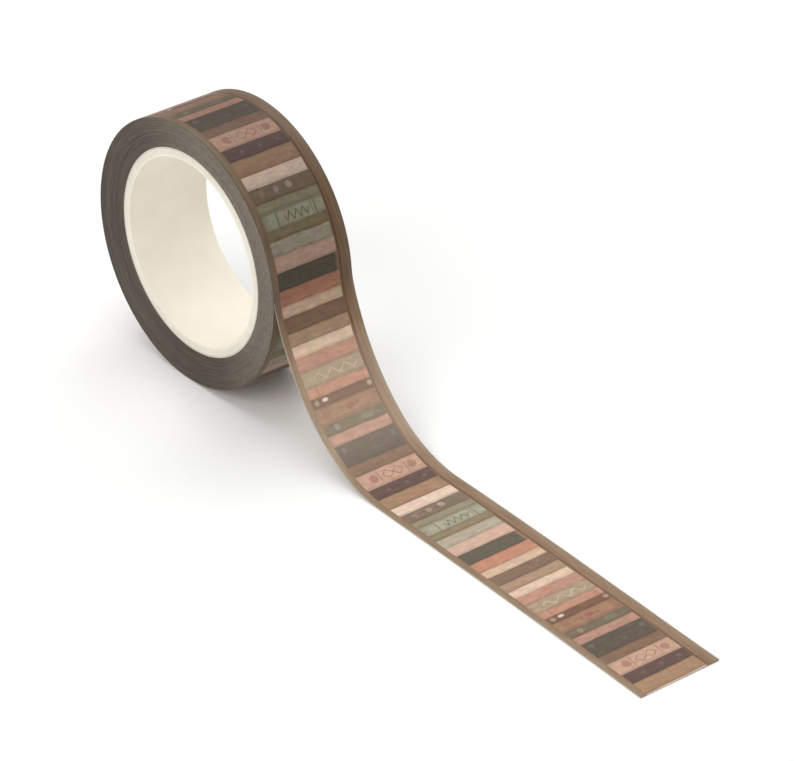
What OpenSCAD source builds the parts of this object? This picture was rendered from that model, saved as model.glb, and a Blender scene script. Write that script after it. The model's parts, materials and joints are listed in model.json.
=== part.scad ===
// Roll of decorative paper masking tape, standing on its rim with a length pulled off onto the table.
// The roll turns about +Y. The tail leaves the roll on its +X side and lies flat towards +X.
// The origin is on the axis of the core's bore, halfway along the outermost lap.
// Every size is in millimetres.

/* [Tape] */
// Width of the tape
tape_w = 15; // [6:0.5:50]
// Thickness of the paper
paper_t = 0.07; // [0.05:0.01:0.15]
// Thickness of the adhesive coat
adhesive_t = 0.02; // [0.01:0.01:0.06]

/* [Core] */
// Diameter of the core's bore
bore_d = 31; // [20:0.5:80]
// Thickness of the smooth ply that lines the bore
liner_t = 0.3; // [0.2:0.05:0.6]
// Number of board plies between the liner and the wrap
board_plies = 3; // [1:1:6]
// Thickness of one board ply
board_ply_t = 0.3; // [0.2:0.05:0.8]
// Thickness of the ply that the tape is wound on
wrap_t = 0.3; // [0.2:0.05:0.6]

/* [Winding] */
// Number of laps of tape on the core
laps = 56; // [20:1:250]
// How far the outermost lap has slipped forward of the core
slip = 0.85; // [0:0.05:1.5]

/* [Tail] */
// Angle above the level of the axis at which the tail leaves the roll
peel_angle = 5; // [0:1:20]
// Space between the roll as it turns and the start of the tail
peel_gap = 0.05; // [0.03:0.01:0.1]
// How stiffly the tail keeps its direction as it leaves the roll
peel_pull = 3.5; // [1:0.5:8]
// How stiffly the tail keeps level as it comes up off the table
foot_pull = 17.75; // [10:0.25:22]
// Distance from the side of the roll to where the tail meets the table
foot_run = 25.75; // [24:0.25:40]
// Length of tail that lies flat on the table
flat_l = 60; // [10:1:200]

/* [Hidden] */
bore_r = bore_d / 2;
board_r = bore_r + liner_t;
wrap_r = board_r + board_plies * board_ply_t;
core_r = wrap_r + wrap_t;
tape_t = paper_t + adhesive_t;
roll_r = core_r + laps * tape_t;

// The front edges of the laps run forward in a straight line from the core to the outermost lap.
rim_y = -tape_w / 2;
core_y = rim_y + slip;

// The underside of the tail is one cubic curve from the roll to the table, and then a straight line.
table_z = -roll_r;
peel_r = roll_r + peel_gap;
peel_dir = [sin(peel_angle), -cos(peel_angle)];
peel_at = peel_r * [cos(peel_angle), sin(peel_angle)];
foot_at = [roll_r + foot_run, table_z];
pulls = [peel_at, peel_at + peel_pull * peel_dir, foot_at - [foot_pull, 0], foot_at];
tail_steps = 36;

BOARD = [for (i = [1:board_plies]) str("board_ply_", i)];
$fn = 180;

// How far back the front edge of the lap at a radius lies.
function front_y(r) = rim_y + slip * (roll_r - r) / (roll_r - core_r);

// A point of the tail's curve, with u from 0 at the roll to 1 at the table.
function curve_at(u) =
    pow(1 - u, 3) * pulls[0] + 3 * pow(1 - u, 2) * u * pulls[1]
    + 3 * (1 - u) * u * u * pulls[2] + pow(u, 3) * pulls[3];

// The direction of the curve at u, towards the table.
function curve_dir(u) =
    let (d = pow(1 - u, 2) * (pulls[1] - pulls[0]) + 2 * (1 - u) * u * (pulls[2] - pulls[1])
            + u * u * (pulls[3] - pulls[2]))
    d / norm(d);

// The printed side of the tail is to the left of its direction.
function curve_normal(u) = let (d = curve_dir(u)) [-d.y, d.x];

// The line along the whole tail at a height above its underside, from the roll to the cut end.
function tail_line(height) = concat(
    [for (i = [0:tail_steps]) let (u = i / tail_steps) curve_at(u) + height * curve_normal(u)],
    [foot_at + [flat_l, height]]);

function reversed(points) = [for (i = [len(points) - 1:-1:0]) points[i]];

// A ply of the core between two radii, as long as the tape is wide.
module core_ply(inner_r, outer_r) {
    rotate([-90, 0, 0]) translate([0, 0, core_y]) difference() {
        cylinder(h = tape_w, r = outer_r);
        translate([0, 0, -1]) cylinder(h = tape_w + 2, r = inner_r);
    }
}

// The laps between two radii. Each lies a little forward of the one under it.
module wound(inner_r, outer_r) {
    rotate([-90, 0, 0]) rotate_extrude() polygon([
        [inner_r, front_y(inner_r)],
        [outer_r, front_y(outer_r)],
        [outer_r, front_y(outer_r) + tape_w],
        [inner_r, front_y(inner_r) + tape_w]
    ]);
}

// A layer of the tail between two heights above its underside.
module tail_layer(low, high) {
    translate([0, tape_w / 2, 0]) rotate([90, 0, 0]) linear_extrude(tape_w)
        polygon(concat(tail_line(low), reversed(tail_line(high))));
}

module core_liner() {
    color("#f4ecd9") core_ply(bore_r, board_r);
}

module board_ply(i) {
    color("#e6d9bf") core_ply(board_r + (i - 1) * board_ply_t, board_r + i * board_ply_t);
}

module core_wrap() {
    color("#efe6d2") core_ply(wrap_r, core_r);
}

// All the laps but the outermost one, which show their edges only.
module wound_tape() {
    color("#6d655c") wound(core_r, roll_r - tape_t);
}

module outer_lap() {
    color("#94715f") wound(roll_r - tape_t, roll_r);
}

module tail_paper() {
    color("#b4967d") tail_layer(adhesive_t, tape_t);
}

module tail_adhesive() {
    color("#e6e0d2") tail_layer(0, adhesive_t);
}

core_liner();
for (i = [1:board_plies]) board_ply(i);
core_wrap();
wound_tape();
outer_lap();
tail_paper();
tail_adhesive();
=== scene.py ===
import json
import math
import random

import bpy
from bpy.props import CollectionProperty, FloatProperty, FloatVectorProperty, IntProperty, PointerProperty
from mathutils import Matrix, Vector, noise


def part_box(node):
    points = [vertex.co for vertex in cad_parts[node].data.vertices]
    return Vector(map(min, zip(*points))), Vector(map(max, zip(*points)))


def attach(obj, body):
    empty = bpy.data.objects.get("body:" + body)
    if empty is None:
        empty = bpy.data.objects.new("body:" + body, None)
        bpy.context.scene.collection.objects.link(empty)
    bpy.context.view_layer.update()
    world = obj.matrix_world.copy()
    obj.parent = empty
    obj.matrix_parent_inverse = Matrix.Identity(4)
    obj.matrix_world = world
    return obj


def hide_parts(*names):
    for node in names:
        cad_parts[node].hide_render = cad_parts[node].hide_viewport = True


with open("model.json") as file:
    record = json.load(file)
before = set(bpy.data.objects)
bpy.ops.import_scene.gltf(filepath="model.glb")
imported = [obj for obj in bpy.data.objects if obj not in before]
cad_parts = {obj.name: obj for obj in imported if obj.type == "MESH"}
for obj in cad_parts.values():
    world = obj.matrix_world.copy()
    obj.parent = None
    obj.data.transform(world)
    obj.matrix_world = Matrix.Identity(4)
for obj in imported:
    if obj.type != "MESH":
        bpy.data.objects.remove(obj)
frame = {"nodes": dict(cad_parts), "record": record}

bl_info = {
    "name": "Paper tape roll",
    "version": (1, 0, 0),
    "blender": (4, 5, 0),
    "location": "3D View > Sidebar > Tape",
    "description": "A roll of printed paper tape on a card core, with a length pulled off it",
    "category": "Object",
}

MM = 0.001
TURN = 2 * math.pi
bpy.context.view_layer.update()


def reach(node):
    """How far a round node reaches from the roll's axis, in metres."""
    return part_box(node)[1].z


# The frame gives every size that the CAD model sets.
MOUNTS = {mount["name"]: mount for mount in frame["record"]["mounts"]}
BORE_R = MOUNTS["core_bore"]["dims"]["r_mm"] * MM
BOARD_PLIES = sorted(name for name in frame["nodes"] if name.startswith("board_ply"))
CORE_R = reach("core_wrap")
ROLL_R = reach("outer_lap")
TAPE_T = ROLL_R - reach("wound_tape")
RIM_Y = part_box("outer_lap")[0].y
CORE_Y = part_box("core_wrap")[0].y
TAPE_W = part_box("tail_paper")[1].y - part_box("tail_paper")[0].y
ADHESIVE_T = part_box("tail_paper")[0].z + ROLL_R
TAIL_END_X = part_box("tail_paper")[1].x

# Fine details that the CAD model leaves out: the plies' broken corners, how far the board lies inside the
# core's rims, the grooves between the laps, the room under the tail's root, and the lengths of the tail's
# waves, of the stretch where they begin, and of the curl at its cut end.
PLY_BEVEL = 0.03 * MM
BOARD_SINK = 0.008 * MM
LAP_GROOVE = 0.02 * MM
ROOT_GAP = 0.01 * MM
WAVE_L = 9 * MM
WAVES_BEGIN_L = 12 * MM
CURL_L = 5 * MM

# Points this close are one, and faces at less than this angle shade as one surface.
SAME_POINT = 0.0005 * MM
SMOOTH_UNDER = math.radians(35)
LAP_SEED = 7
# Most values of a noise texture lie between these two.
NOISE_LOW = 0.3
NOISE_HIGH = 0.7


def rgb(text):
    """Linear colour of an sRGB hex value."""
    parts = [int(text[i:i + 2], 16) / 255 for i in (1, 3, 5)]
    return [c / 12.92 if c <= 0.04045 else ((c + 0.055) / 1.055) ** 2.4 for c in parts]


# The print, along the tape towards its cut end: each band's name, width in mm, ink, and how far in mm it
# stops short of the back border.
BANDS = (
    ("rose_panel", 3.0, "#c09881", 0.05),
    ("charcoal", 2.7, "#5f463c", 0.0),
    ("tan", 2.8, "#9f7d60", 0.2),
    ("cream", 2.3, "#dec4ae", 0.1),
    ("mauve", 2.6, "#7f6c59", 0.0),
    ("olive", 1.6, "#93896f", 0.0),
    ("sage_panel", 2.8, "#918a75", 0.1),
    ("umber", 1.5, "#8c7b5d", 0.0),
    ("stone", 2.4, "#ada18d", 0.25),
    ("peach", 2.5, "#cca793", 0.15),
    ("bottle", 3.0, "#5f5646", 0.55),
    ("coral", 2.6, "#bb8368", 0.1),
    ("straw", 1.8, "#ceae94", 0.2),
    ("taupe", 2.4, "#806552", 0.0),
    ("fawn", 2.1, "#a7886e", 0.15),
    ("ivory", 1.8, "#d9bba3", 0.2),
    ("brick_rose", 2.4, "#b78772", 0.1),
    ("sage_grey", 2.6, "#a89277", 0.1),
    ("salmon_bar", 1.8, "#bc8870", 0.0),
    ("bark", 1.5, "#77543e", 0.1),
    ("tan_panel", 2.7, "#9b765a", 0.25),
    ("lichen", 1.9, "#72634e", 0.0),
    ("blush", 1.9, "#af8471", 0.1),
    ("slate", 3.9, "#594b3d", 0.0),
    ("brown", 2.1, "#7e6049", 0.0),
)

# Small ornaments on the bands: band, shape, how far from the middle of the tape and of the band in mm
# (across, along), half its size in mm (across, along), ink, strength.
MARKS = (
    ("rose_panel", "diamond_line", (0.75, 0.0), (1.1, 0.95), "#8f5f56", 0.65),
    ("rose_panel", "diamond_line", (-1.15, 0.0), (1.1, 0.95), "#8f5f56", 0.65),
    ("rose_panel", "bar", (2.35, 0.0), (0.12, 1.0), "#8f5f56", 0.6),
    ("rose_panel", "bar", (-2.75, 0.0), (0.12, 1.0), "#8f5f56", 0.6),
    ("rose_panel", "disc", (3.45, 0.0), (0.75, 0.8), "#935f57", 0.6),
    ("rose_panel", "disc", (-3.85, 0.0), (0.75, 0.8), "#935f57", 0.6),
    ("charcoal", "disc", (3.6, 0.1), (0.35, 0.3), "#857a75", 0.35),
    ("charcoal", "disc", (0.3, 0.1), (0.35, 0.3), "#7d7482", 0.35),
    ("charcoal", "disc", (-3.2, 0.1), (0.35, 0.3), "#857a75", 0.35),
    ("mauve", "disc", (0.75, -0.1), (0.55, 0.6), "#bda898", 0.7),
    ("mauve", "disc", (-1.7, 0.0), (0.5, 0.55), "#b3a094", 0.5),
    ("mauve", "disc", (-4.4, 0.0), (0.5, 0.55), "#a8948a", 0.4),
    ("sage_panel", "bar", (0.1, 0.15), (5.6, 1.1), "#b5b298", 0.5),
    ("sage_panel", "bar", (3.5, 0.15), (0.14, 1.15), "#6c6b57", 0.7),
    ("sage_panel", "bar", (2.9, 0.15), (0.09, 1.15), "#6c6b57", 0.55),
    ("sage_panel", "bar", (-3.6, 0.15), (0.14, 1.15), "#6c6b57", 0.7),
    ("sage_panel", "zigzag", (0.0, 0.15), (2.3, 0.65), "#4d5040", 0.7),
    ("sage_grey", "wave", (0.0, 0.1), (4.2, 0.5), "#cdc2aa", 0.45),
    ("salmon_bar", "bar", (4.3, 0.0), (0.11, 0.9), "#8f5f4e", 0.6),
    ("salmon_bar", "bar", (3.8, 0.0), (0.08, 0.9), "#8f5f4e", 0.5),
    ("salmon_bar", "bar", (-4.4, 0.0), (0.11, 0.9), "#8f5f4e", 0.6),
    ("bark", "disc", (4.75, 0.0), (0.4, 0.45), "#b7a68f", 0.7),
    ("bark", "disc", (-5.35, 0.0), (0.4, 0.45), "#b7a68f", 0.6),
    ("bark", "disc", (-3.75, -0.1), (0.5, 0.3), "#eadfce", 0.8),
    ("tan_panel", "bar_line", (0.1, 0.0), (5.3, 1.15), "#8d5c4a", 0.45),
    ("tan_panel", "diamond", (-0.2, 0.0), (0.9, 0.6), "#8d4d3c", 0.6),
    ("tan_panel", "disc", (1.3, 0.0), (0.3, 0.3), "#8d4d3c", 0.5),
    ("tan_panel", "disc", (-1.7, 0.0), (0.3, 0.3), "#8d4d3c", 0.5),
    ("lichen", "disc", (-3.9, 0.0), (0.5, 0.5), "#aba290", 0.4),
    ("lichen", "disc", (2.0, 0.0), (1.2, 0.6), "#848b68", 0.35),
    ("slate", "disc", (4.3, -0.6), (0.5, 0.45), "#7f7e77", 0.3),
    ("slate", "disc", (-5.0, -0.9), (0.4, 0.5), "#7f8384", 0.3),
    ("slate", "disc", (0.2, 0.5), (0.5, 0.4), "#75716e", 0.25),
)


# How the light through the thin paper changes the print along the free tape, painted into its colour as
# painted
# light: mm from where it leaves the roll, brightness of the ink, and share of bare paper that shines
# through it.
LIGHT_THROUGH = (
    (1.5, 0.73, 0.0),
    (4.0, 0.87, 0.0),
    (7.0, 0.95, 0.02),
    (10.0, 1.16, 0.09),
    (14.0, 1.19, 0.14),
    (19.0, 1.22, 0.16),
    (25.0, 1.3, 0.15),
    (29.0, 1.12, 0.07),
    (32.0, 0.99, 0.02),
    (37.0, 1.0, 0.0),
    (41.0, 1.0, 0.0),
)


class PrintBand(bpy.types.PropertyGroup):
    width: FloatProperty(name="Width", description="Width of the band along the tape",
                         default=2 * MM, unit="LENGTH")
    ink: FloatVectorProperty(name="Ink", description="Colour of the band's ink", subtype="COLOR", size=3,
                             min=0, max=1, default=rgb("#9f7d60"))
    inset: FloatProperty(name="Inset", description="How far the band stops short of the back border",
                         default=0, unit="LENGTH")


class TapeSizes(bpy.types.PropertyGroup):
    peel_angle: FloatProperty(name="Peel angle", description="Where the tail leaves the roll, as an angle",
                              default=math.radians(5), subtype="ANGLE")
    peel_pull: FloatProperty(name="Peel pull", description="How stiffly the tail leaves the roll",
                             default=3.5 * MM, unit="LENGTH")
    foot_pull: FloatProperty(name="Foot pull", description="How stiffly the tail keeps level off the table",
                             default=17.75 * MM, unit="LENGTH")
    foot_run: FloatProperty(name="Foot run", description="From the roll's side to where the tail lies flat",
                            default=25.75 * MM, unit="LENGTH")
    # Painted shade: the print over the dark wound laps is darkened in its colour, as less light comes back
    # through the paper.
    painted_lap_shade: FloatProperty(name="Backing", description="Brightness of the print over the dark wound laps",
                           default=0.59, subtype="FACTOR", min=0, max=1)
    drift: FloatProperty(name="Drift", description="How far the cut end has swung towards the front",
                         default=2 * MM, unit="LENGTH")
    ripple: FloatProperty(name="Ripple", description="Height of the waves in the flat stretch",
                          default=0.06 * MM, unit="LENGTH")
    root_room: FloatProperty(name="Root room", description="How far the wound tape lies under the tail's "
                             "root, so that the roll turns clear of it", default=0.04 * MM, unit="LENGTH")
    curl: FloatProperty(name="End curl", description="How far the cut end has curled up",
                        default=0.08 * MM, unit="LENGTH")
    laps: IntProperty(name="Laps", description="Laps of tape under the outermost one", default=55)
    lap_scatter: FloatProperty(name="Lap scatter", description="How far a lap's edge stands off the next",
                               default=0.025 * MM, unit="LENGTH")
    front_rail: FloatProperty(name="Front rail", description="Width of the border along the front edge",
                              default=1.2 * MM, unit="LENGTH")
    back_rail: FloatProperty(name="Back rail", description="Width of the border along the back edge",
                             default=2.25 * MM, unit="LENGTH")
    print_start: FloatProperty(name="Print start", description="From where the tail leaves the roll to the "
                               "first band of the print", default=30.4 * MM, unit="LENGTH")
    bands: CollectionProperty(type=PrintBand)


class TapeColours(bpy.types.PropertyGroup):
    core: FloatVectorProperty(name="Core paper", description="Bleached paper of the core", subtype="COLOR",
                              size=3, min=0, max=1, default=rgb("#f4eddf"))
    core_rim: FloatVectorProperty(name="Core rim", description="Cut rims of the core's inner paper",
                                  subtype="COLOR", size=3, min=0, max=1, default=rgb("#e8e2d3"))
    board: FloatVectorProperty(name="Core board", description="Board between the core's paper plies",
                               subtype="COLOR", size=3, min=0, max=1, default=rgb("#e2dccf"))
    # The wrap's grey rim is painted shade: the shadow line where the core meets the wound laps.
    wrap: FloatVectorProperty(name="Core wrap", description="Outermost ply of the core, greyed at its rims",
                              subtype="COLOR", size=3, min=0, max=1, default=rgb("#cfc8ba"))
    edges: FloatVectorProperty(name="Lap edges", description="Cut edges of the wound tape", subtype="COLOR",
                               size=3, min=0, max=1, default=rgb("#50473d"))
    # Painted highlight: the pale flecks where light grazes the lap edges on the lit side of the roll.
    painted_glint: FloatVectorProperty(name="Scuffed edges", description="Lap edges where they have rubbed",
                                 subtype="COLOR", size=3, min=0, max=1, default=rgb("#9a8f80"))
    rail: FloatVectorProperty(name="Rail", description="Ink of the two borders", subtype="COLOR",
                              size=3, min=0, max=1, default=rgb("#8e7860"))
    rail_inner: FloatVectorProperty(name="Rail inner", description="Ink of the borders' inner side",
                                    subtype="COLOR", size=3, min=0, max=1, default=rgb("#8b6e54"))
    rail_line: FloatVectorProperty(name="Rail line", description="Ink of the line inside the back border",
                                   subtype="COLOR", size=3, min=0, max=1, default=rgb("#71523c"))
    paper: FloatVectorProperty(name="Bare paper", description="Unprinted paper of the tape",
                               subtype="COLOR", size=3, min=0, max=1, default=rgb("#ece2d4"))
    adhesive: FloatVectorProperty(name="Adhesive side", description="Paper seen through the adhesive",
                                  subtype="COLOR", size=3, min=0, max=1, default=rgb("#cfc5b4"))


# ---------------------------------------------------------------- materials

def new_material(name):
    """A material with an empty tree, and its Principled shader and output."""
    material = bpy.data.materials.new(name)
    material.use_nodes = True
    tree = material.node_tree
    tree.nodes.clear()
    shader = add(tree, "ShaderNodeBsdfPrincipled")
    add(tree, "ShaderNodeOutputMaterial", {"Surface": shader.outputs["BSDF"]})
    return material, tree, shader


def add(tree, kind, inputs=None, **settings):
    """Adds a node, sets its properties, and links or sets each of its inputs."""
    made = tree.nodes.new(kind)
    for name, value in settings.items():
        setattr(made, name, value)
    for name, value in (inputs or {}).items():
        if isinstance(value, bpy.types.NodeSocket):
            tree.links.new(value, made.inputs[name])
        else:
            made.inputs[name].default_value = value
    return made


def colour(rgb_value):
    """A linear colour with the fourth channel that a colour socket wants."""
    return (*rgb_value, 1.0)


def add_bump(tree, shader, height, depth):
    """Raises the surface by a height from 0 to 1 that stands for depth, in metres."""
    bump = add(tree, "ShaderNodeBump", {"Height": height, "Distance": depth, "Strength": 1.0})
    tree.links.new(bump.outputs["Normal"], shader.inputs["Normal"])


def paper_material(name, ink, rim_ink, mottle=0.06, roughness=0.8):
    """Bleached core paper: dull, faintly mottled in clouds 4 mm across, with felt marks 0.4 mm long. Its
    cut rims are duller than its face, and carry a few specks of dust; on the wrap, the duller rim is
    painted shade."""
    material, tree, shader = new_material(name)
    place = add(tree, "ShaderNodeTexCoord").outputs["Object"]
    clouds = add(tree, "ShaderNodeTexNoise", {"Vector": place, "Scale": 1 / (4 * MM), "Detail": 4.0})
    felt = add(tree, "ShaderNodeTexNoise", {"Vector": place, "Scale": 1 / (0.4 * MM), "Detail": 3.0})
    shade = add(tree, "ShaderNodeMapRange", {
        "Value": clouds.outputs["Fac"], "From Min": NOISE_LOW, "From Max": NOISE_HIGH,
        "To Min": 1 - mottle, "To Max": 1 + mottle / 3})
    # The rims are at both ends of the core, and their duller tone begins just short of them.
    rim_begins = 0.08 * MM
    parts = add(tree, "ShaderNodeSeparateXYZ", {"Vector": place})
    off = add(tree, "ShaderNodeMath", {0: parts.outputs["Y"], 1: CORE_Y + TAPE_W / 2}, operation="SUBTRACT")
    off = add(tree, "ShaderNodeMath", {0: off.outputs["Value"]}, operation="ABSOLUTE")
    cut = add(tree, "ShaderNodeMapRange", {
        "Value": off.outputs["Value"], "From Min": TAPE_W / 2 - rim_begins,
        "From Max": TAPE_W / 2 - PLY_BEVEL})
    bare = add(tree, "ShaderNodeMix", {0: cut.outputs["Result"], 6: colour(ink), 7: colour(rim_ink)},
               data_type="RGBA")
    dust = add(tree, "ShaderNodeTexNoise", {"Vector": place, "Scale": 1 / (0.7 * MM), "Detail": 2.0})
    specks = add(tree, "ShaderNodeMapRange", {
        "Value": dust.outputs["Fac"], "From Min": 0.68, "From Max": 0.76, "To Min": 1.0, "To Max": 0.72})
    specks = add(tree, "ShaderNodeMix", {0: cut.outputs["Result"], 2: 1.0, 3: specks.outputs["Result"]})
    shade = add(tree, "ShaderNodeMath", {0: shade.outputs["Result"], 1: specks.outputs[0]},
                operation="MULTIPLY")
    tint = add(tree, "ShaderNodeVectorMath", {0: bare.outputs[2], "Scale": shade.outputs["Value"]},
               operation="SCALE")
    tree.links.new(tint.outputs["Vector"], shader.inputs["Base Color"])
    shader.inputs["Roughness"].default_value = roughness
    shader.inputs["Specular IOR Level"].default_value = 0.25
    add_bump(tree, shader, felt.outputs["Fac"], 0.015 * MM)
    return material


def lap_edge_material(ink, painted_glint):
    """Slit edges of wound washi tape: ink and adhesive show dark, in streaks that run round the roll, with
    paler flecks painted in as highlights where light grazes the rough lap edges on one side."""
    material, tree, shader = new_material("slit_tape_edges")
    place = add(tree, "ShaderNodeTexCoord").outputs["Object"]
    flat = add(tree, "ShaderNodeVectorMath", {0: place, 1: (1, 0, 1)}, operation="MULTIPLY")
    flat = flat.outputs["Vector"]
    radius = add(tree, "ShaderNodeVectorMath", {0: flat}, operation="LENGTH").outputs["Value"]
    around = add(tree, "ShaderNodeVectorMath", {0: flat}, operation="NORMALIZE").outputs["Vector"]
    # Streaks change fast with the radius, in mm, and slowly with the way round, so they run along the laps:
    # groups of laps about 0.6 mm deep, and streaks little more than one lap deep.
    depth = add(tree, "ShaderNodeMath", {0: radius, 1: 1 / MM}, operation="MULTIPLY").outputs["Value"]
    rise = add(tree, "ShaderNodeCombineXYZ", {"Y": depth}).outputs["Vector"]
    polar = add(tree, "ShaderNodeVectorMath", {0: around, 1: rise}, operation="ADD").outputs["Vector"]
    groups = add(tree, "ShaderNodeTexNoise", {"Vector": polar, "Scale": 1.6, "Detail": 2.0})
    laps = add(tree, "ShaderNodeTexNoise", {"Vector": polar, "Scale": 8.0, "Detail": 2.0})
    both = add(tree, "ShaderNodeMath", {0: groups.outputs["Fac"], 1: laps.outputs["Fac"]}, operation="ADD")
    shade = add(tree, "ShaderNodeMapRange", {
        "Value": both.outputs["Value"], "From Min": 0.75, "From Max": 1.25, "To Min": 0.74, "To Max": 1.24})
    tint = add(tree, "ShaderNodeVectorMath", {0: ink, "Scale": shade.outputs["Result"]}, operation="SCALE")
    # Painted highlights: flecks about 0.3 mm deep and 0.8 mm long, where light grazes the rough lap edges,
    # thick on the lit side of the roll and nearly absent from the other.
    painted_lit_side = (0.85, 0, 0.5)
    side = add(tree, "ShaderNodeVectorMath", {0: around, 1: painted_lit_side}, operation="DOT_PRODUCT")
    painted_glint_share = add(tree, "ShaderNodeMapRange", {
        "Value": side.outputs["Value"], "From Min": -0.1, "From Max": 0.6, "To Min": 0.0, "To Max": 0.36})
    drift = add(tree, "ShaderNodeVectorMath", {0: around, "Scale": 8.0}, operation="SCALE")
    fleck_place = add(tree, "ShaderNodeVectorMath", {0: drift.outputs["Vector"], 1: rise}, operation="ADD")
    flecks = add(tree, "ShaderNodeTexNoise", {
        "Vector": fleck_place.outputs["Vector"], "Scale": 3.0, "Detail": 5.0, "Roughness": 0.7,
        "Distortion": 0.6})
    cover = add(tree, "ShaderNodeMapRange", {
        "Value": flecks.outputs["Fac"], "From Min": 0.3, "From Max": 0.75, "To Min": 0.2, "To Max": 1.8})
    pale = add(tree, "ShaderNodeMath", {0: cover.outputs["Result"], 1: painted_glint_share.outputs["Result"]},
               operation="MULTIPLY", use_clamp=True)
    tint = add(tree, "ShaderNodeMix", {
        0: pale.outputs["Value"], 6: tint.outputs["Vector"], 7: colour(painted_glint)}, data_type="RGBA")
    tree.links.new(tint.outputs[2], shader.inputs["Base Color"])
    shader.inputs["Roughness"].default_value = 0.62
    shader.inputs["Specular IOR Level"].default_value = 0.4
    add_bump(tree, shader, laps.outputs["Fac"], 0.015 * MM)
    return material


def ramp_of_bands(tree, along, bands, pitch, value):
    """A stepped ramp along the print that gives each band its own value."""
    ramp = add(tree, "ShaderNodeValToRGB", {"Fac": along})
    ramp.color_ramp.interpolation = "CONSTANT"
    stops = ramp.color_ramp.elements
    stops.remove(stops[1])
    start = 0.0
    for i, band in enumerate(bands):
        stop = stops[0] if i == 0 else stops.new(start / pitch)
        stop.position = start / pitch
        stop.color = colour(value(band, start))
        start += band.width
    return ramp.outputs["Color"]


def mark_mask(tree, spot, shape, centre, half):
    """How far a printed mark covers a spot, from 0 to 1. spot is (across, along) in mm."""
    scale = (1 / half[0], 1 / half[1], 0)
    shift = (-centre[0] / half[0], -centre[1] / half[1], 0)
    local = add(tree, "ShaderNodeVectorMath", {0: spot, 1: scale, 2: shift}, operation="MULTIPLY_ADD")
    if shape in ("zigzag", "wave"):
        # A line that goes from one side of the band to the other while it runs across the tape.
        pace = 2.4 if shape == "wave" else 3.2
        parts = add(tree, "ShaderNodeSeparateXYZ", {"Vector": local.outputs["Vector"]})
        turns = add(tree, "ShaderNodeMath", {0: parts.outputs["X"], 1: half[0] * pace},
                    operation="MULTIPLY")
        if shape == "zigzag":
            fold = add(tree, "ShaderNodeMath", {0: turns.outputs["Value"], 1: 2.0}, operation="PINGPONG")
            swing = add(tree, "ShaderNodeMath", {0: fold.outputs["Value"], 1: 1.0}, operation="SUBTRACT")
        else:
            swing = add(tree, "ShaderNodeMath", {0: turns.outputs["Value"]}, operation="SINE")
        off = add(tree, "ShaderNodeMath", {0: parts.outputs["Y"], 1: swing.outputs["Value"]},
                  operation="SUBTRACT")
        line = add(tree, "ShaderNodeMath", {0: off.outputs["Value"]}, operation="ABSOLUTE")
        wide = add(tree, "ShaderNodeMapRange", {
            "Value": line.outputs["Value"], "From Min": 0.15, "From Max": 0.5,
            "To Min": 1.0, "To Max": 0.0})
        from_middle = add(tree, "ShaderNodeMath", {0: parts.outputs["X"]}, operation="ABSOLUTE")
        ends = add(tree, "ShaderNodeMath", {0: from_middle.outputs["Value"], 1: 1.0}, operation="LESS_THAN")
        return add(tree, "ShaderNodeMath", {0: wide.outputs["Result"], 1: ends.outputs["Value"]},
                   operation="MULTIPLY").outputs["Value"]
    plus = add(tree, "ShaderNodeVectorMath", {0: local.outputs["Vector"]}, operation="ABSOLUTE")
    if shape.startswith("bar"):
        parts = add(tree, "ShaderNodeSeparateXYZ", {"Vector": plus.outputs["Vector"]})
        away = add(tree, "ShaderNodeMath", {0: parts.outputs["X"], 1: parts.outputs["Y"]},
                   operation="MAXIMUM")
    elif shape.startswith("diamond"):
        away = add(tree, "ShaderNodeVectorMath", {0: plus.outputs["Vector"], 1: (1, 1, 0)},
                   operation="DOT_PRODUCT")
    else:
        away = add(tree, "ShaderNodeVectorMath", {0: plus.outputs["Vector"]}, operation="LENGTH")
    away = away.outputs["Value"]
    if shape.endswith("_line"):
        # Only the outer 24% of the shape is drawn, as an outline.
        drawn = add(tree, "ShaderNodeMath", {0: away, 1: 0.88, 2: 0.12}, operation="COMPARE")
        return drawn.outputs["Value"]
    # A filled mark fades over 0.12 mm to each side of its edge, or less where it is very small.
    soft = min(0.35, 0.12 / min(half))
    return add(tree, "ShaderNodeMapRange", {
        "Value": away, "From Min": 1 - soft, "From Max": 1 + soft,
        "To Min": 1.0, "To Max": 0.0}).outputs["Result"]


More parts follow.
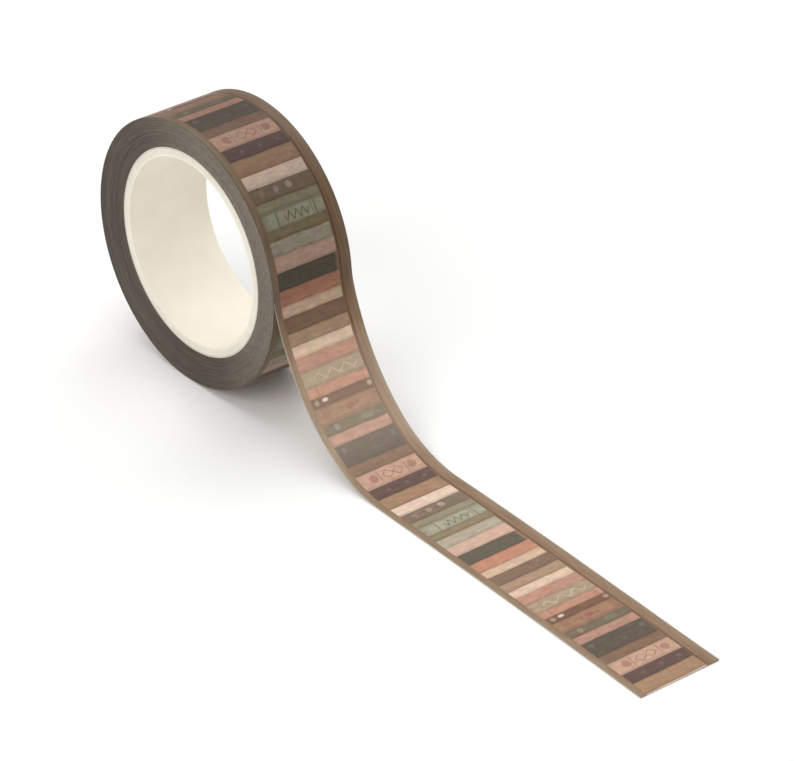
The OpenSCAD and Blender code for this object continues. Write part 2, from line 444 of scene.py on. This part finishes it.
def printed_colour(tree, sizes, colours):
    """The print as a colour: bands with their ornaments between two borders, all in slightly uneven ink.
    Places on it are in mm, so a noise scale is in patches per mm. Returns the colour and the place."""
    bands = sizes.bands
    pitch = sum(band.width for band in bands)
    uv = add(tree, "ShaderNodeUVMap", uv_map="print").outputs["UV"]
    # Place on the tape in mm: along it, and across it from its middle towards the back.
    place = add(tree, "ShaderNodeVectorMath", {0: uv, 1: (pitch / MM, TAPE_W / MM, 0),
                                               2: (0, -TAPE_W / MM / 2, 0)}, operation="MULTIPLY_ADD")
    place = place.outputs["Vector"]
    # Hand-ruled edges wander by a few hundredths of a millimetre, over about 3 mm.
    wander = add(tree, "ShaderNodeTexNoise", {"Vector": place, "Scale": 0.3, "Detail": 2.0})
    ruled = add(tree, "ShaderNodeVectorMath", {
        0: wander.outputs["Color"], 1: (0.2, 0.2, 0), 2: (-0.1, -0.1, 0)}, operation="MULTIPLY_ADD")
    ruled = add(tree, "ShaderNodeVectorMath", {0: ruled.outputs["Vector"], 1: place}, operation="ADD")
    parts = add(tree, "ShaderNodeSeparateXYZ", {"Vector": ruled.outputs["Vector"]})
    across = parts.outputs["Y"]
    repeats = add(tree, "ShaderNodeMath", {0: parts.outputs["X"], 1: MM / pitch}, operation="MULTIPLY")
    along = add(tree, "ShaderNodeMath", {0: repeats.outputs["Value"]}, operation="FRACT").outputs["Value"]
    along_mm = add(tree, "ShaderNodeMath", {0: along, 1: pitch / MM}, operation="MULTIPLY").outputs["Value"]
    spot = add(tree, "ShaderNodeCombineXYZ", {"X": across, "Y": along_mm}).outputs["Vector"]

    ink = ramp_of_bands(tree, along, bands, pitch, lambda band, start: band.ink)
    # Where each band starts and ends, as shares of the repeat, and its inset in mm.
    bounds = ramp_of_bands(tree, along, bands, pitch, lambda band, start: (
        start / pitch, (start + band.width) / pitch, band.inset / MM))
    bounds = add(tree, "ShaderNodeSeparateColor", {"Color": bounds})

    middles = {}
    start = 0.0
    for band in bands:
        middles[band.name] = start / MM + band.width / MM / 2
        start += band.width
    for band, shape, centre, half, mark_ink, strength in MARKS:
        mark_place = (centre[0], middles[band] + centre[1])
        mask = mark_mask(tree, spot, shape, mark_place, half)
        cover = add(tree, "ShaderNodeMath", {0: mask, 1: strength}, operation="MULTIPLY")
        ink = add(tree, "ShaderNodeMix", {
            0: cover.outputs["Value"], 6: ink, 7: colour(rgb(mark_ink))}, data_type="RGBA").outputs[2]

    # Ink lies in soft patches 1 to 3 mm across, which lean a little red, yellow or green.
    patches = add(tree, "ShaderNodeTexNoise", {
        "Vector": place, "Scale": 0.55, "Detail": 3.0, "Roughness": 0.55})
    lean = add(tree, "ShaderNodeVectorMath", {
        0: patches.outputs["Color"], 1: (0.36, 0.34, 0.38), 2: (0.82, 0.83, 0.81)},
               operation="MULTIPLY_ADD")
    ink = add(tree, "ShaderNodeVectorMath", {0: ink, 1: lean.outputs["Vector"]}, operation="MULTIPLY")

    # The brush ran the long way of each band, so streaks 0.6 mm wide and 2 mm long lie across the tape.
    brush_place = add(tree, "ShaderNodeVectorMath", {0: place, 1: (1.0, 0.3, 0)}, operation="MULTIPLY")
    brush = add(tree, "ShaderNodeTexNoise", {
        "Vector": brush_place.outputs["Vector"], "Scale": 1.7, "Detail": 4.0, "Roughness": 0.7,
        "Distortion": 0.5})
    strokes = add(tree, "ShaderNodeMapRange", {
        "Value": brush.outputs["Fac"], "From Min": NOISE_LOW, "From Max": NOISE_HIGH,
        "To Min": 0.8, "To Max": 1.18})
    ink = add(tree, "ShaderNodeVectorMath", {0: ink.outputs["Vector"], "Scale": strokes.outputs["Result"]},
              operation="SCALE")

    # Each band is a little darker along its two edges, over the last 0.4 mm.
    to_start = add(tree, "ShaderNodeMath", {0: along, 1: bounds.outputs["Red"]}, operation="SUBTRACT")
    to_end = add(tree, "ShaderNodeMath", {0: bounds.outputs["Green"], 1: along}, operation="SUBTRACT")
    nearest = add(tree, "ShaderNodeMath", {0: to_start.outputs["Value"], 1: to_end.outputs["Value"]},
                  operation="MINIMUM")
    joint = add(tree, "ShaderNodeMapRange", {
        "Value": nearest.outputs["Value"], "From Min": 0.05 * MM / pitch, "From Max": 0.4 * MM / pitch,
        "To Min": 0.8, "To Max": 1.0})
    ink = add(tree, "ShaderNodeVectorMath", {0: ink.outputs["Vector"], "Scale": joint.outputs["Result"]},
              operation="SCALE").outputs["Vector"]

    # The borders: two tones of brown, in streaks 6 mm long and 0.5 mm wide that run along the tape, with a
    # dark line inside the back one.
    grain_place = add(tree, "ShaderNodeVectorMath", {0: place, 1: (0.16, 2.2, 0)}, operation="MULTIPLY")
    grain = add(tree, "ShaderNodeTexNoise", {
        "Vector": grain_place.outputs["Vector"], "Scale": 1.0, "Detail": 3.0})
    back_from = TAPE_W / MM / 2 - sizes.back_rail / MM
    front_from = TAPE_W / MM / 2 - sizes.front_rail / MM
    # How far a spot is past the inner edge of the back border, and of whichever border is nearer.
    behind = add(tree, "ShaderNodeMath", {0: across, 1: back_from}, operation="SUBTRACT").outputs["Value"]
    before = add(tree, "ShaderNodeMath", {0: across, 1: -1.0, 2: -front_from}, operation="MULTIPLY_ADD")
    out = add(tree, "ShaderNodeMath", {0: behind, 1: before.outputs["Value"]}, operation="MAXIMUM")
    out = out.outputs["Value"]
    away = add(tree, "ShaderNodeMath", {0: across}, operation="ABSOLUTE").outputs["Value"]
    # The outer tone takes over between 0.4 and 1.2 mm from the edge, and the line is the first 0.4 mm.
    tone = add(tree, "ShaderNodeMapRange", {"Value": away, "From Min": 6.3, "From Max": 7.1})
    rail = add(tree, "ShaderNodeMix", {
        0: tone.outputs["Result"], 6: colour(colours.rail_inner), 7: colour(colours.rail)},
               data_type="RGBA").outputs[2]
    line = add(tree, "ShaderNodeMapRange", {
        "Value": behind, "From Min": 0.3, "From Max": 0.5, "To Min": 1.0, "To Max": 0.0}).outputs["Result"]
    inside = add(tree, "ShaderNodeMath", {0: behind, 1: 0.0}, operation="GREATER_THAN").outputs["Value"]
    line = add(tree, "ShaderNodeMath", {0: line, 1: inside}, operation="MULTIPLY").outputs["Value"]
    rail = add(tree, "ShaderNodeMix", {0: line, 6: rail, 7: colour(colours.rail_line)},
               data_type="RGBA").outputs[2]
    streak = add(tree, "ShaderNodeMapRange", {
        "Value": grain.outputs["Fac"], "From Min": NOISE_LOW, "From Max": NOISE_HIGH,
        "To Min": 0.8, "To Max": 1.16})
    rail = add(tree, "ShaderNodeVectorMath", {0: rail, "Scale": streak.outputs["Result"]},
               operation="SCALE")
    # A band that stops short of the back border leaves a gap in the border's inner tone. This edge and the
    # borders' own are soft over blur, in mm, to each side.
    blur = 0.06
    gap = add(tree, "ShaderNodeMath", {0: behind, 1: bounds.outputs["Blue"]}, operation="ADD")
    gap = add(tree, "ShaderNodeMapRange", {
        "Value": gap.outputs["Value"], "From Min": -blur, "From Max": blur})
    ink = add(tree, "ShaderNodeMix", {0: gap.outputs["Result"], 6: ink, 7: colour(colours.rail_inner)},
              data_type="RGBA").outputs[2]
    border = add(tree, "ShaderNodeMapRange", {"Value": out, "From Min": -blur, "From Max": blur})
    print_colour = add(tree, "ShaderNodeMix", {
        0: border.outputs["Result"], 6: ink, 7: rail.outputs["Vector"]}, data_type="RGBA")
    return print_colour.outputs[2], place


def print_material(sizes, colours):
    """Washi, a thin mulberry paper, with offset-printed bands: satin, and a little see-through. Painted
    shade darkens the print on the wound roll, and painted light brightens it where it hangs free or lies on
    a pale table."""
    material, tree, shader = new_material("printed_washi_paper")
    ink, place = printed_colour(tree, sizes, colours)
    along = add(tree, "ShaderNodeSeparateXYZ", {"Vector": place}).outputs["X"]
    # The ramp of painted light starts where the tail leaves the roll, and is this many mm long.
    span = 50.0
    from_peel = add(tree, "ShaderNodeMapRange", {
        "Value": along, "From Min": -sizes.print_start / MM, "From Max": -sizes.print_start / MM + span})
    through = add(tree, "ShaderNodeValToRGB", {"Fac": from_peel.outputs["Result"]})
    # Painted light: red is the ink's brightness, green the share of bare paper, blue 0 on the roll and 1 on
    # the tail.
    stops = through.color_ramp.elements
    stops[0].color = (sizes.painted_lap_shade, 0, 0, 1)
    stops[1].color = (1, 0, 1, 1)
    for at, clear, veil in LIGHT_THROUGH:
        stops.new(at / span).color = (clear, veil, 1, 1)
    through = add(tree, "ShaderNodeSeparateColor", {"Color": through.outputs["Color"]})
    shown = add(tree, "ShaderNodeVectorMath", {0: ink, "Scale": through.outputs["Red"]}, operation="SCALE")
    shown = add(tree, "ShaderNodeMix", {
        0: through.outputs["Green"], 6: shown.outputs["Vector"], 7: colour(colours.paper)},
                data_type="RGBA")
    # The slit edges are as dark as the pack's where the tape is wound, and a hair of bare paper where it
    # hangs free or lies on the table.
    across = add(tree, "ShaderNodeSeparateXYZ", {"Vector": place}).outputs["Y"]
    away = add(tree, "ShaderNodeMath", {0: across}, operation="ABSOLUTE").outputs["Value"]
    slit = add(tree, "ShaderNodeMapRange", {
        "Value": away, "From Min": TAPE_W / MM / 2 - 0.16, "From Max": TAPE_W / MM / 2 - 0.04,
        "To Min": 0.0, "To Max": 0.75})
    free = add(tree, "ShaderNodeMapRange", {
        "Value": through.outputs["Blue"], "To Min": 1.0, "To Max": 0.25})
    slit = add(tree, "ShaderNodeMath", {0: slit.outputs["Result"], 1: free.outputs["Result"]},
               operation="MULTIPLY")
    edge = add(tree, "ShaderNodeMix", {
        0: through.outputs["Blue"], 6: colour(colours.edges), 7: colour(colours.paper)}, data_type="RGBA")
    shown = add(tree, "ShaderNodeMix", {0: slit.outputs["Value"], 6: shown.outputs[2], 7: edge.outputs[2]},
                data_type="RGBA")
    tree.links.new(shown.outputs[2], shader.inputs["Base Color"])
    # Fibres 0.3 mm long, the size that still shows.
    fibres = add(tree, "ShaderNodeTexNoise", {
        "Vector": place, "Scale": 3.5, "Detail": 4.0, "Distortion": 1.5})
    gloss = add(tree, "ShaderNodeMapRange", {
        "Value": fibres.outputs["Fac"], "From Min": NOISE_LOW, "From Max": NOISE_HIGH,
        "To Min": 0.38, "To Max": 0.52})
    tree.links.new(gloss.outputs["Result"], shader.inputs["Roughness"])
    shader.inputs["Specular IOR Level"].default_value = 0.2
    add_bump(tree, shader, fibres.outputs["Fac"], 0.012 * MM)
    return material


def adhesive_material(sizes, colours):
    """Acrylic adhesive on thin paper: glossier than the print, which shows through it pale."""
    material, tree, shader = new_material("clear_adhesive_on_washi")
    ink, place = printed_colour(tree, sizes, colours)
    pale = add(tree, "ShaderNodeMix", {0: 0.55, 6: ink, 7: colour(colours.adhesive)}, data_type="RGBA")
    tree.links.new(pale.outputs[2], shader.inputs["Base Color"])
    # The coat lies a little unevenly, in clouds 0.8 mm across.
    clouds = add(tree, "ShaderNodeTexNoise", {"Vector": place, "Scale": 1.2, "Detail": 3.0})
    gloss = add(tree, "ShaderNodeMapRange", {
        "Value": clouds.outputs["Fac"], "From Min": NOISE_LOW, "From Max": NOISE_HIGH,
        "To Min": 0.32, "To Max": 0.5})
    tree.links.new(gloss.outputs["Result"], shader.inputs["Roughness"])
    add_bump(tree, shader, clouds.outputs["Fac"], 0.003 * MM)
    return material


# ---------------------------------------------------------------- modelling

def start_piece(name, add_primitive, **where):
    """Adds a primitive with nothing else selected, and names its object and mesh."""
    bpy.ops.object.select_all(action="DESELECT")
    add_primitive(**where)
    piece = bpy.context.object
    piece.name = name
    piece.data.name = name
    return piece


def spin_ring(name, outline, steps=192):
    """A closed ring about the roll's axis. outline lists (radius, y) points round its cross-section."""
    piece = start_piece(name, bpy.ops.mesh.primitive_circle_add, vertices=len(outline), radius=ROLL_R)
    for vertex, (radius, y) in zip(piece.data.vertices, outline):
        vertex.co = (radius, y, 0)
    bpy.ops.object.mode_set(mode="EDIT")
    bpy.ops.mesh.select_all(action="SELECT")
    bpy.ops.mesh.spin(steps=steps, angle=TURN, center=(0, 0, 0), axis=(0, 1, 0))
    bpy.ops.mesh.select_all(action="SELECT")
    bpy.ops.mesh.remove_doubles(threshold=SAME_POINT)
    bpy.ops.mesh.normals_make_consistent(inside=False)
    bpy.ops.object.mode_set(mode="OBJECT")
    return piece


def finish_piece(piece, body, slot, material, *nodes):
    """Gives a piece its material, lets it ride on its body, and stands it in for its CAD nodes. slot is not
    used.
    """
    piece.data.materials.clear()
    piece.data.materials.append(material)
    bpy.ops.object.select_all(action="DESELECT")
    piece.select_set(True)
    bpy.context.view_layer.objects.active = piece
    bpy.ops.object.shade_smooth_by_angle(angle=SMOOTH_UNDER)
    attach(piece, body)
    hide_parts(*nodes)


def rounded(inner_r, outer_r, front_y, back_y, bevel):
    """The cross-section of a ply, with its four corners broken by a small bevel."""
    return [
        (inner_r + bevel, front_y), (outer_r - bevel, front_y),
        (outer_r, front_y + bevel), (outer_r, back_y - bevel),
        (outer_r - bevel, back_y), (inner_r + bevel, back_y),
        (inner_r, back_y - bevel), (inner_r, front_y + bevel),
    ]


class TailLine:
    """The line of the strip's underside: round the roll, off it on a cubic curve, and along the table."""

    def __init__(self, sizes, samples=400):
        under_r = ROLL_R - TAPE_T
        self.peel = sizes.peel_angle
        self.wound_r = under_r - sizes.root_room
        way = Vector((math.sin(self.peel), -math.cos(self.peel)))
        first = under_r * Vector((math.cos(self.peel), math.sin(self.peel)))
        foot = Vector((ROLL_R + sizes.foot_run, -ROLL_R))
        self.pulls = (first, first + sizes.peel_pull * way, foot - Vector((sizes.foot_pull, 0)), foot)
        points = [self.curve(i / samples) for i in range(samples + 1)]
        self.lengths = [0.0]
        for a, b in zip(points, points[1:]):
            self.lengths.append(self.lengths[-1] + (b - a).length)
        self.curve_l = self.lengths[-1]
        self.length = self.curve_l + TAIL_END_X - foot.x
        self.samples = samples

    def curve(self, u):
        a, b, c, d = self.pulls
        return (1 - u) ** 3 * a + 3 * (1 - u) ** 2 * u * b + 3 * (1 - u) * u * u * c + u ** 3 * d

    def slope(self, u):
        a, b, c, d = self.pulls
        return ((1 - u) ** 2 * (b - a) + 2 * (1 - u) * u * (c - b) + u * u * (d - c)).normalized()

    def lift(self, sizes, s, across):
        """How far the tail stands off its line: slow waves, and a curl at the cut end. across runs from
        -0.5 to 0.5."""
        if s <= 0:
            return 0.0
        wave = noise.noise(Vector((s / WAVE_L, across * 1.3, 0.0)))
        curl = max(0.0, (s - self.length) / CURL_L + 1) ** 2
        ripple = min(1.0, s / WAVES_BEGIN_L) * sizes.ripple * (1 + wave)
        return ripple + sizes.curl * curl * (0.6 + 0.5 * across)

    def at(self, s):
        """The point and the direction at s, the distance in metres from where the tail leaves the roll."""
        if s < 0:
            angle = self.peel - s / ROLL_R
            radius = self.wound_r + TAPE_T * s / (TURN * ROLL_R)
            return (radius * Vector((math.cos(angle), math.sin(angle))),
                    Vector((math.sin(angle), -math.cos(angle))))
        if s >= self.curve_l:
            return self.pulls[3] + Vector((s - self.curve_l, 0)), Vector((1, 0))
        i = next(k for k in range(self.samples) if self.lengths[k + 1] >= s)
        u = (i + (s - self.lengths[i]) / (self.lengths[i + 1] - self.lengths[i])) / self.samples
        return self.curve(u), self.slope(u)


def make_strip(name, line, s_from, s_to, low, high, sizes, steps, across=12):
    """A length of tape between two distances along its line. low and high give its heights above that line.
    Its print map runs along the tape in repeats of the print and across it from 0 to 1."""
    piece = start_piece(name, bpy.ops.mesh.primitive_grid_add, x_subdivisions=steps,
                        y_subdivisions=across, size=1)
    bpy.ops.object.mode_set(mode="EDIT")
    bpy.ops.mesh.select_all(action="SELECT")
    bpy.ops.mesh.extrude_region_move(TRANSFORM_OT_translate={"value": (0, 0, -1)})
    bpy.ops.mesh.select_all(action="SELECT")
    bpy.ops.mesh.normals_make_consistent(inside=False)
    bpy.ops.object.mode_set(mode="OBJECT")
    mesh = piece.data
    pitch = sum(band.width for band in sizes.bands)
    while mesh.uv_layers:
        mesh.uv_layers.remove(mesh.uv_layers[0])
    layer = mesh.uv_layers.new(name="print")
    # The grid is 1 long and 1 across, about its middle, so x and y give the place on the strip.
    for loop in mesh.loops:
        x, y, _ = mesh.vertices[loop.vertex_index].co
        s = s_from + (x + 0.5) * (s_to - s_from)
        layer.data[loop.index].uv = ((s - sizes.print_start) / pitch, y + 0.5)
    for vertex in mesh.vertices:
        x, y, z = vertex.co
        s = s_from + (x + 0.5) * (s_to - s_from)
        point, way = line.at(s)
        height = high(s) if z > -0.5 else low(s)
        side = Vector((-way.y, way.x))
        drift = sizes.drift * (max(s, 0) / line.length) ** 2
        spot = point + (height + line.lift(sizes, s, y)) * side
        vertex.co = (spot.x, y * TAPE_W - drift, spot.y)
    return piece


# ---------------------------------------------------------------- operators

class TAPE_OT_core(bpy.types.Operator):
    """Model the plies of the card core, each with its corners broken"""
    bl_idname = "tape.core"
    bl_label = "Core"

    def execute(self, context):
        colours = context.scene.tape_colours
        liner = paper_material("bleached_liner_paper", colours.core, colours.core_rim, mottle=0.035)
        board = paper_material("core_board", colours.board, colours.board, mottle=0.08, roughness=0.9)
        # The wrap's rim tone is painted shade, where the core meets the wound laps.
        wrap = paper_material("core_wrap_paper", colours.core, colours.wrap)
        plies = [("core_liner", "core_paper", liner, 0.0)]
        plies += [(node, "core_board", board, BOARD_SINK) for node in BOARD_PLIES]
        plies += [("core_wrap", "core_paper", wrap, 0.0)]
        inner_r = BORE_R
        for node, slot, material, sink in plies:
            outer_r = reach(node)
            ring = rounded(inner_r, outer_r, CORE_Y + sink, CORE_Y + TAPE_W - sink, PLY_BEVEL)
            ply = spin_ring("ply_" + node, ring)
            finish_piece(ply, "roll", slot, material, node)
            inner_r = outer_r
        return {"FINISHED"}


class TAPE_OT_wound_laps(bpy.types.Operator):
    """Model the wound laps, each with its own edge on both faces of the roll"""
    bl_idname = "tape.wound_laps"
    bl_label = "Wound laps"

    def execute(self, context):
        sizes = context.scene.tape_sizes
        dice = random.Random(LAP_SEED)
        outer_r = ROLL_R - 2 * TAPE_T
        lap_t = (outer_r - CORE_R) / sizes.laps
        front = []
        back = []
        for k in range(sizes.laps):
            inner = CORE_R + k * lap_t
            edge = CORE_Y + (RIM_Y - CORE_Y) * (k + 0.5) / sizes.laps
            shift = dice.uniform(-1, 1) * sizes.lap_scatter
            # A shallow groove parts each lap from the next.
            for r, sink in ((inner, LAP_GROOVE), (inner + 0.2 * lap_t, 0), (inner + 0.8 * lap_t, 0)):
                front.append((r, edge + shift + sink))
                back.append((r, edge + shift - sink + TAPE_W))
        front.append((outer_r, RIM_Y + LAP_GROOVE))
        back.append((outer_r, RIM_Y - LAP_GROOVE + TAPE_W))
        laps = spin_ring("wound_laps", front + back[::-1], steps=180)
        # Each lap's edge also wanders a little on its way round.
        for vertex in laps.data.vertices:
            x, _, z = vertex.co
            radius = math.hypot(x, z)
            # The small share keeps a point on the line between two laps with the outer one.
            lap = math.floor((radius - CORE_R) / lap_t + 0.01)
            wander = noise.noise(Vector((1.5 * x / radius, 1.5 * z / radius, lap * 1.7)))
            vertex.co.y += sizes.lap_scatter * wander
        colours = context.scene.tape_colours
        edges = lap_edge_material(colours.edges, colours.painted_glint)
        finish_piece(laps, "roll", "tape_edges", edges, "wound_tape")
        return {"FINISHED"}


class TAPE_OT_strip(bpy.types.Operator):
    """Model the printed strip: the outermost lap, the tail's paper and the adhesive under it"""
    bl_idname = "tape.strip"
    bl_label = "Printed strip"

    def execute(self, context):
        sizes = context.scene.tape_sizes
        colours = context.scene.tape_colours
        sizes.bands.clear()
        for name, width, ink, inset in BANDS:
            band = sizes.bands.add()
            band.name = name
            band.width = width * MM
            band.ink = rgb(ink)
            band.inset = inset * MM
        line = TailLine(sizes)
        printed = print_material(sizes, colours)
        lap_l = TURN * ROLL_R

        def lap_top(s):
            return TAPE_T

        def lap_under(s):
            """The underside keeps to the laps below, while the top winds down by one thickness."""
            return TAPE_T * (-s / lap_l - 1) + sizes.root_room

        def layer(height):
            """A height in the tail's thickness. The root is thinner, so the roll turns clear of it."""
            def at(s):
                thick = min(TAPE_T, sizes.root_room - ROOT_GAP + s * s / (2 * ROLL_R))
                return TAPE_T + (height / TAPE_T - 1) * thick
            return at

        lap = make_strip("printed_lap", line, -lap_l, 0, lap_under, lap_top, sizes, steps=240)
        finish_piece(lap, "roll", "printed_paper", printed, "outer_lap")
        paper = make_strip("printed_tail", line, 0, line.length, layer(ADHESIVE_T), layer(TAPE_T), sizes,
                           steps=260)
        finish_piece(paper, "tail", "printed_paper", printed, "tail_paper")
        coat = make_strip("adhesive_coat", line, 0, line.length, layer(0), layer(ADHESIVE_T), sizes,
                          steps=260)
        adhesive = adhesive_material(sizes, colours)
        finish_piece(coat, "tail", "adhesive", adhesive, "tail_adhesive")
        return {"FINISHED"}


# The camera: how far round from the front, up and rolled it is in degrees, what it looks at, how far off it
# stands, its lens in mm, and how far it sees in metres.
CAMERA_ANGLES = (50.139, 31.549, 0.945)
CAMERA_AIM = Vector((42.0, 0, -5.12)) * MM
CAMERA_AWAY = 695.9 * MM
CAMERA_LENS = 212.3
CAMERA_SEES = 20

# The floor: its width, how far it lies under the roll, and where it starts and ends to fade, in metres.
FLOOR_W = 1.6
FLOOR_GAP = 0.01 * MM
FLOOR_FADES = (0.25, 0.65)

# How much of the white that the eye sees the room lends as light.
ROOM_LIGHT = 0.24

# The soft boxes: name, place and width in metres, and watts. All point at one place.
LIGHT_AIM = Vector((0.03, 0, 0))
SOFT_BOXES = (
    ("top_box", (0.0, 0.0, 0.8), 0.8, 3.08),
    ("back_box", (-0.25, 0.6, 0.6), 0.7, 2.91),
    ("front_box", (0.25, -0.8, 0.5), 0.8, 6.3),
    ("left_box", (-0.8, 0.1, 0.4), 0.7, 2.01),
)


class TAPE_OT_stage(bpy.types.Operator):
    """Set the camera, the pale floor and the soft studio light"""
    bl_idname = "tape.stage"
    bl_label = "Stage"

    def execute(self, context):
        scene = context.scene
        azimuth, elevation, roll = (math.radians(angle) for angle in CAMERA_ANGLES)
        away = Vector((math.sin(azimuth) * math.cos(elevation), -math.cos(azimuth) * math.cos(elevation),
                       math.sin(elevation)))
        bpy.ops.object.camera_add(location=CAMERA_AIM + CAMERA_AWAY * away)
        camera = bpy.context.object
        turn = away.to_track_quat("Z", "Y").to_matrix() @ Matrix.Rotation(roll, 3, "Z")
        camera.rotation_euler = turn.to_euler()
        camera.data.lens = CAMERA_LENS
        camera.data.clip_end = CAMERA_SEES
        scene.camera = camera

        bpy.ops.mesh.primitive_plane_add(size=FLOOR_W, location=(0, 0, -ROLL_R - FLOOR_GAP))
        floor = bpy.context.object
        floor.name = "floor"
        material, tree, shader = new_material("white_sweep_paper")
        shader.inputs["Base Color"].default_value = colour(rgb("#f6f6f5"))
        shader.inputs["Roughness"].default_value = 0.9
        shader.inputs["Specular IOR Level"].default_value = 0.1
        # Away from the roll the paper fades into the white room, so no far edge shows.
        place = add(tree, "ShaderNodeTexCoord").outputs["Object"]
        far = add(tree, "ShaderNodeVectorMath", {0: place}, operation="LENGTH").outputs["Value"]
        fade = add(tree, "ShaderNodeMapRange", {
            "Value": far, "From Min": FLOOR_FADES[0], "From Max": FLOOR_FADES[1]})
        clear = add(tree, "ShaderNodeBsdfTransparent")
        both = add(tree, "ShaderNodeMixShader", {
            0: fade.outputs["Result"], 1: shader.outputs["BSDF"], 2: clear.outputs["BSDF"]})
        sheet_end = next(node for node in tree.nodes if node.type == "OUTPUT_MATERIAL")
        tree.links.new(both.outputs["Shader"], sheet_end.inputs["Surface"])
        floor.data.materials.append(material)

        # The room is white to the eye and lends only a little light; four large soft boxes give the rest.
        world = bpy.data.worlds.new("studio")
        world.use_nodes = True
        tree = world.node_tree
        sky = tree.nodes["Background"]
        seen = add(tree, "ShaderNodeLightPath")
        level = add(tree, "ShaderNodeMapRange", {
            "Value": seen.outputs["Is Camera Ray"], "To Min": ROOM_LIGHT, "To Max": 1.0})
        tree.links.new(level.outputs["Result"], sky.inputs["Strength"])
        sky.inputs["Color"].default_value = colour(rgb("#ffffff"))
        scene.world = world
        scene.view_settings.view_transform = "Standard"
        for name, place, size, power in SOFT_BOXES:
            bpy.ops.object.light_add(type="AREA", location=place)
            light = bpy.context.object
            light.name = name
            light.data.size = size
            light.data.energy = power
            light.rotation_euler = (Vector(place) - LIGHT_AIM).to_track_quat("Z", "Y").to_euler()
        return {"FINISHED"}


class TAPE_PT_panel(bpy.types.Panel):
    bl_idname = "TAPE_PT_panel"
    bl_label = "Paper tape roll"
    bl_space_type = "VIEW_3D"
    bl_region_type = "UI"
    bl_category = "Tape"

    def draw(self, context):
        for group in (context.scene.tape_sizes, context.scene.tape_colours):
            box = self.layout.box()
            for name in group.bl_rna.properties.keys():
                if name not in ("rna_type", "name", "bands"):
                    box.prop(group, name)
        for operator in OPERATORS:
            self.layout.operator(operator.bl_idname)


OPERATORS = (TAPE_OT_stage, TAPE_OT_core, TAPE_OT_wound_laps, TAPE_OT_strip)
CLASSES = (PrintBand, TapeSizes, TapeColours, *OPERATORS, TAPE_PT_panel)


def register():
    for cls in CLASSES:
        bpy.utils.register_class(cls)
    bpy.types.Scene.tape_sizes = PointerProperty(type=TapeSizes)
    bpy.types.Scene.tape_colours = PointerProperty(type=TapeColours)


def unregister():
    del bpy.types.Scene.tape_colours
    del bpy.types.Scene.tape_sizes
    for cls in reversed(CLASSES):
        bpy.utils.unregister_class(cls)


def main():
    register()
    bpy.ops.tape.stage()
    bpy.ops.tape.core()
    bpy.ops.tape.wound_laps()
    bpy.ops.tape.strip()


if __name__ == "__main__":
    main()
